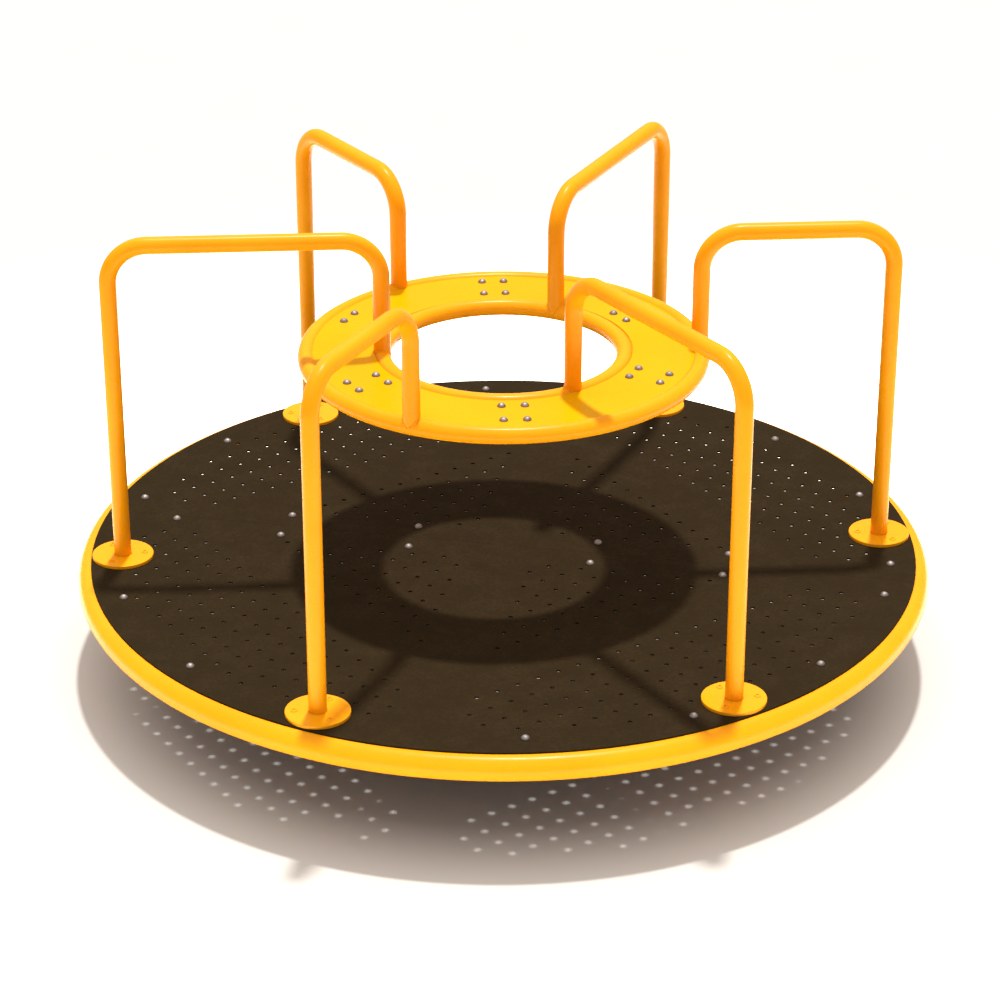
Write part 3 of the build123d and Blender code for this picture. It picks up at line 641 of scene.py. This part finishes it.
# Low dome over a short upright edge, a flat underside, and a shank that ends in a few thread ridges.
def boltProfile(headHeight, length):
    head, edge, shank = domeBolt["headRadius"], domeBolt["edge"], domeBolt["shankRadius"]
    edgeBreak = edge * domeBolt["edgeBreak"]
    pitch = domeBolt["pitch"]
    profile = domeArc(head, headHeight - edge, headHeight, 0, domeBolt["domeSteps"])
    profile += [(head, edgeBreak), (head - edgeBreak, 0), (shank, 0)]
    for k in range(domeBolt["ridges"], 0, -1):
        z = k * pitch - length
        profile += [(shank, z), (shank - domeBolt["threadDepth"], z - pitch / 2)]
    return profile + [(shank - domeBolt["point"], -length), (0, -length)]


# Button screw: a dome with a round socket sunk in its crown, and a plain shank.
def screwProfile(headHeight, length):
    head, shank, socket = buttonScrew["headRadius"], buttonScrew["shankRadius"], buttonScrew["socketRadius"]
    depth = buttonScrew["socketDepth"]
    profile = [(0, headHeight - depth), (socket * buttonScrew["floorShare"], headHeight - depth)]
    profile += [(socket, headHeight - depth * buttonScrew["wallShare"])]
    profile += domeArc(head, headHeight, headHeight, socket, buttonScrew["domeSteps"])
    return profile + [(head - buttonScrew["lowEdge"], 0), (shank, 0), (shank, -length), (0, -length)]


# Every fastener of a node, its head on the seat: head height and length are the node's own.
def fastenerSet(node, places, seat, profileOf, segments):
    low, high = corners(node)
    centres = np.column_stack([places, np.full(len(places), seat)])
    return copies(lathe(profileOf(high[2] - seat, seat - low[2]), segments), centres)


screws = fastenerSet("flange_screws", screwPlaces(), flangeTop, screwProfile, buttonScrew["segments"])
makePiece("flangeButtonScrews", screws, "yellow_powder_coat", "flange_screws")
boltSets = (("deckDomeBolts", "deck_bolts", deckTop), ("ringDomeBolts", "ring_bolts", plateHigh[2]))
for name, node, seat in boltSets:
    bolts = fastenerSet(node, crownPlaces(node), seat, boltProfile, domeBolt["segments"])
    makePiece(name, bolts, "fastener_steel", node)
print("flanges and fasteners made")


# Matt white board, rolled smooth, that glows as painted light: faintly inside the edge of the object's cast
# shadow, to lift it, and strongly round the shadow, in place of bounced fill light.
def paleFloor():
    board = {
        "faintRise": (1.0, 1.42),   # metres from the spin axis, where painted light starts inside the edge of the shadow
        "paintedShadowGlow": (0.0, 0.22),
        "fullRise": (1.42, 1.58),
        "paintedFloorGlow": (0.0, 3.4),
        "fade": (2.3, 3.6),
        "glowColour": "#FFF6E4",
        "colour": "#C1BCB6",
        "shade": "#BFBAB4",
        "shadeSize": 500 * mm,
        "shadeBand": (0.3, 0.7),
        "roughness": 0.85,
    }
    material, tree, shader, place = startMaterial("mattWhiteBoardPaintedGlow")
    # Painted light: the emission rises with the distance from the spin axis, faint in the shadow's outer
    # part, then strong round it, and fades far out.
    away = addNode(tree, "VectorMath", {"operation": "LENGTH", 0: place}, "Value")
    faint = {"Value": away, fromPair: board["faintRise"], toPair: board["paintedShadowGlow"]}
    full = {"Value": away, fromPair: board["fullRise"], toPair: board["paintedFloorGlow"]}
    faint, full = addNode(tree, "MapRange", faint), addNode(tree, "MapRange", full)
    rise = addNode(tree, "Math", {"operation": "ADD", 0: faint, 1: full})
    fade = addNode(tree, "MapRange", {"Value": away, fromPair: board["fade"], toPair: (1.0, 0.0)})
    shade = addNode(tree, "TexNoise", {"Vector": place, "Scale": 1 / board["shadeSize"], "Detail": 3.0})
    shade = addNode(tree, "MapRange", {"Value": shade, fromPair: board["shadeBand"]})
    shaded = {"data_type": "RGBA", share: shade, first: board["colour"], second: board["shade"]}
    setUp(tree, shader, {
        "Base Color": addNode(tree, "Mix", shaded, mixedColour),
        "Roughness": board["roughness"],
        "Emission Color": board["glowColour"],
        "Emission Strength": addNode(tree, "Math", {"operation": "MULTIPLY", 0: rise, 1: fade}),
    })
    return material


stage = {"halfWidth": 60.0, "drop": 0.5 * mm}
half, drop = stage["halfWidth"], stage["drop"]
floorCorners = [(-half, -half, -drop), (half, -half, -drop), (half, half, -drop), (-half, half, -drop)]
floorMesh = bpy.data.meshes.new("floor")
floorMesh.from_pydata(floorCorners, [], [(0, 1, 2, 3)])
floorMesh.materials.append(paleFloor())
floor = bpy.data.objects.new("floor", floorMesh)
bpy.context.scene.collection.objects.link(floor)

light = {
    "towards": (0.036, 0.137, 0.602),   # from the object to the lamp
    "spread": math.radians(3),          # a soft edge to shadows
    "sun": 3.7,
    "tent": (0.10, 1.35),               # brightness of its sides and its top
}
sun = bpy.data.lights.new("keyLight", "SUN")
sun.energy = light["sun"]
sun.angle = light["spread"]
sunObject = bpy.data.objects.new("keyLight", sun)
sunObject.rotation_euler = Vector(light["towards"]).to_track_quat("Z", "Y").to_euler()
bpy.context.scene.collection.objects.link(sunObject)


# White tent: brightness rises evenly with the sine of the elevation, from its sides to its top.
def whiteTent():
    world = bpy.data.worlds.new("whiteTent")
    world.use_nodes = True
    tree = world.node_tree
    direction = addNode(tree, "TexCoord", {}, "Generated")
    upwards = addNode(tree, "SeparateXYZ", {0: direction}, "Z")
    brightness = addNode(tree, "MapRange", {"Value": upwards, toPair: light["tent"]})
    setUp(tree, tree.nodes["Background"], {"Color": "#FFFFFF", "Strength": brightness})
    return world


bpy.context.scene.world = whiteTent()
bpy.context.scene.view_settings.view_transform = "Standard"

shot = {
    "turn": math.radians(-3.64),
    "rise": math.radians(25.84),
    "distance": 9.175,
    "aim": (-0.0063, 0.0570, deckTop + 0.1165),
    "lens": 114.6,
    "sensor": 36.0,
}
levelPart = math.cos(shot["rise"])
forward = Vector((
    -math.sin(shot["turn"]) * levelPart,
    math.cos(shot["turn"]) * levelPart,
    -math.sin(shot["rise"]),
))
camera = bpy.data.objects.new("camera", bpy.data.cameras.new("camera"))
camera.data.lens = shot["lens"]
camera.data.sensor_width = shot["sensor"]
camera.location = Vector(shot["aim"]) - shot["distance"] * forward
camera.rotation_euler = forward.to_track_quat("-Z", "Y").to_euler()
bpy.context.scene.collection.objects.link(camera)
bpy.context.scene.camera = camera
print("stage set")
